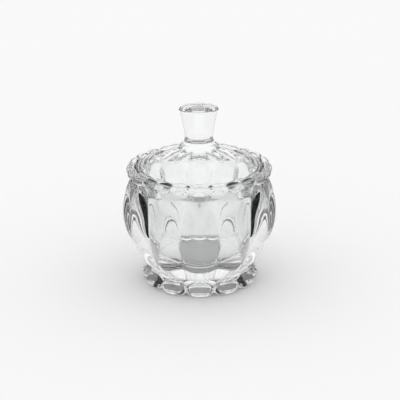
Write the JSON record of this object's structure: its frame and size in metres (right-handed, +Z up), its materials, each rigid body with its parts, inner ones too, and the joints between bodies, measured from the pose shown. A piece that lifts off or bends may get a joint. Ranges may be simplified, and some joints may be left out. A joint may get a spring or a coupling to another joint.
{
  "type": "candy bowl",
  "caption": "Lidded candy bowl of clear pressed glass: panelled round body, beaded rim, lobed foot, and a fluted lid with a flared knob that lifts off.",
  "frame": {"origin": "middle of the foot, on the table", "axes": "+Z up along the bowl's axis, with one body panel facing -Y"},
  "size_m": [0.105, 0.105, 0.1231],
  "materials": {
    "bowl_glass": "clear, fire-polished pressed glass",
    "lid_glass": "clear, fire-polished pressed glass"
  },
  "bodies": {
    "bowl": {"bowl": "bowl_glass"},
    "lid": {"lid": "lid_glass"}
  },
  "joints": [
    {"name": "lid_lift", "type": "slide", "parent": "bowl", "child": "lid", "axis": [0, 0, 1], "range_m": [0, 0.12]}
  ]
}
